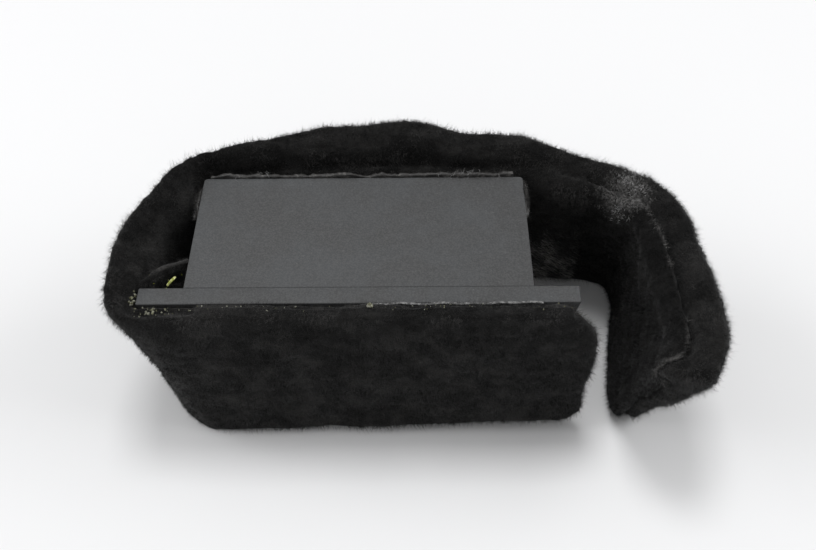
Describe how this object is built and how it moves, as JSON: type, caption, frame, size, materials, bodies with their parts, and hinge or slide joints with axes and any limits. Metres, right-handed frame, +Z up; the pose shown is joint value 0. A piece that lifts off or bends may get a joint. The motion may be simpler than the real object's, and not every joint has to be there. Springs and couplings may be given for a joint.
{
  "type": "rosin cake",
  "caption": "Block of rosin cast in a flanged rectangular holder, wrapped in a two-ply plush strip whose front cover and free end fold open.",
  "frame": {"origin": "centre of the bounding box at the level the part stands on", "axes": "+X along the playing face towards the free end, +Y from the playing face to the back, +Z up"},
  "size_m": [0.0872, 0.0492, 0.0309],
  "materials": {
    "holder": "matte, very fine grain",
    "rosin": "yellow-green to amber, dusty where worn",
    "rosin_splinter": "clear broken splinters",
    "glue": "dried glue, cloudy",
    "plush": "short black pile, matted in places",
    "lining": "short black pile, dusty"
  },
  "bodies": {
    "holder": {"holder_body": "holder", "front_plate": "holder", "rosin_cake": "rosin", "back_glue": "glue", "wrap_cloth": "plush", "wrap_lining": "lining", "rosin_chips": "rosin_splinter"},
    "cover": {"cover_cloth": "plush", "cover_lining": "lining"},
    "wall": {"wall_cloth": "plush", "wall_lining": "lining"},
    "flap": {"flap_cloth": "plush", "flap_lining": "lining"}
  },
  "joints": [
    {"name": "cover_fold", "type": "hinge", "parent": "holder", "child": "cover", "pos_m": [-0.0304, -0.01541, 0], "axis": [0, 0, -1], "range_deg": [0, 135]},
    {"name": "wall_fold", "type": "hinge", "parent": "holder", "child": "wall", "pos_m": [0.01725, 0.02235, 0], "axis": [0, 0, 1], "range_deg": [0, 45]},
    {"name": "flap_fold", "type": "hinge", "parent": "wall", "child": "flap", "pos_m": [0.0373, 0.01499, 0], "axis": [0, 0, 1], "range_deg": [0, 75]}
  ]
}
